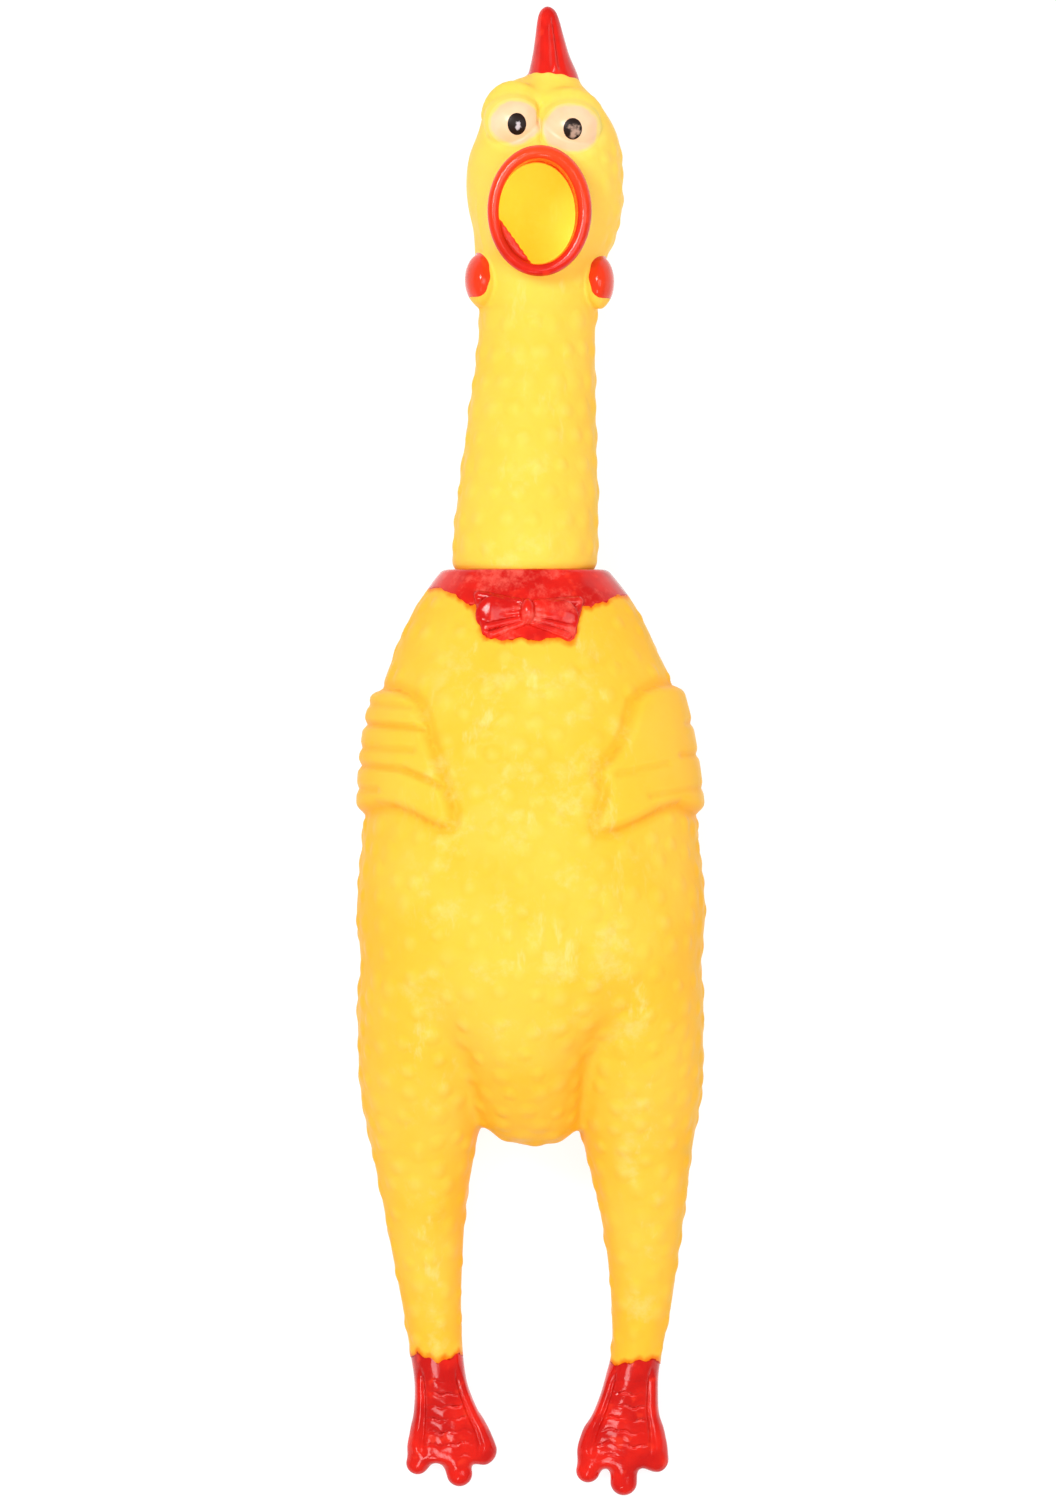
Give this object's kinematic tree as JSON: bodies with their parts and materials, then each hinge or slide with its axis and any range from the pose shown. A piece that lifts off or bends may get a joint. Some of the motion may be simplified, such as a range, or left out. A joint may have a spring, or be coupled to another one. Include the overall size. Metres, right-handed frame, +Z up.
{
  "type": "rubber chicken",
  "caption": "Hollow soft rubber chicken squeeze toy lying on its back, with a bendy neck and legs and a reed sounder in the neck plug.",
  "frame": {"origin": "on the table under the middle of the toy's bounding box, with the toy lying on its back", "axes": "+Y from the feet to the comb, +Z up out of the chicken's front, +X towards the chicken's left side"},
  "size_m": [0.0724, 0.3103, 0.0528],
  "materials": {
    "vinyl_yellow": "satin moulded vinyl, slightly translucent",
    "paint_red": "glossy paint on vinyl",
    "paint_cream": "satin paint on vinyl",
    "paint_black": "glossy paint on vinyl",
    "sounder_plastic": "plain moulded plastic",
    "reed_film": "thin springy film"
  },
  "bodies": {
    "body": {"torso_shell": "vinyl_yellow", "collar": "paint_red", "bow_tie": "paint_red", "right_wing": "vinyl_yellow", "left_wing": "vinyl_yellow"},
    "belly": {"belly_panel": "vinyl_yellow"},
    "neck": {"neck_base_shell": "vinyl_yellow", "neck_bend": "vinyl_yellow", "sounder_housing": "sounder_plastic", "sounder_grille": "sounder_plastic", "reed_tube": "sounder_plastic", "reed_clamp": "sounder_plastic"},
    "reed": {"reed_tongue": "reed_film"},
    "head": {"head_shell": "vinyl_yellow", "beak_rim": "paint_red", "comb": "paint_red", "right_wattle": "paint_red", "left_wattle": "paint_red", "right_eye": "paint_cream", "left_eye": "paint_cream", "right_pupil": "paint_black", "left_pupil": "paint_black"},
    "right_leg": {"right_hip_bend": "vinyl_yellow", "right_leg_shell": "vinyl_yellow", "right_foot": "paint_red"},
    "left_leg": {"left_hip_bend": "vinyl_yellow", "left_leg_shell": "vinyl_yellow", "left_foot": "paint_red"}
  },
  "joints": [
    {"name": "neck_swivel", "type": "hinge", "parent": "body", "child": "neck", "pos_m": [-0.0015, 0.0372, 0.021], "axis": [0, 1, 0], "continuous": true},
    {"name": "neck_bending", "type": "hinge", "parent": "neck", "child": "head", "pos_m": [-0.0002, 0.061, 0.0192], "axis": [1, 0, 0], "range_deg": [-25, 35], "stiffness_Nm_per_rad": 0.6, "deforming": ["neck_bend"]},
    {"name": "right_leg_bending", "type": "hinge", "parent": "body", "child": "right_leg", "pos_m": [-0.0225, -0.093, 0.0158], "axis": [1, 0, 0], "range_deg": [-45, 30], "stiffness_Nm_per_rad": 0.08, "deforming": ["right_hip_bend"]},
    {"name": "left_leg_bending", "type": "hinge", "parent": "body", "child": "left_leg", "pos_m": [0.0228, -0.093, 0.0158], "axis": [1, 0, 0], "range_deg": [-45, 30], "stiffness_Nm_per_rad": 0.08, "deforming": ["left_hip_bend"]},
    {"name": "belly_squeeze", "type": "slide", "parent": "body", "child": "belly", "axis": [0, 0, -1], "range_m": [0, 0.014], "stiffness_N_per_m": 300},
    {"name": "reed_beat", "type": "hinge", "parent": "neck", "child": "reed", "pos_m": [-0.0015, 0.0392, 0.0231], "axis": [1, 0, 0], "range_deg": [-5, 4], "stiffness_Nm_per_rad": 0.0001}
  ]
}
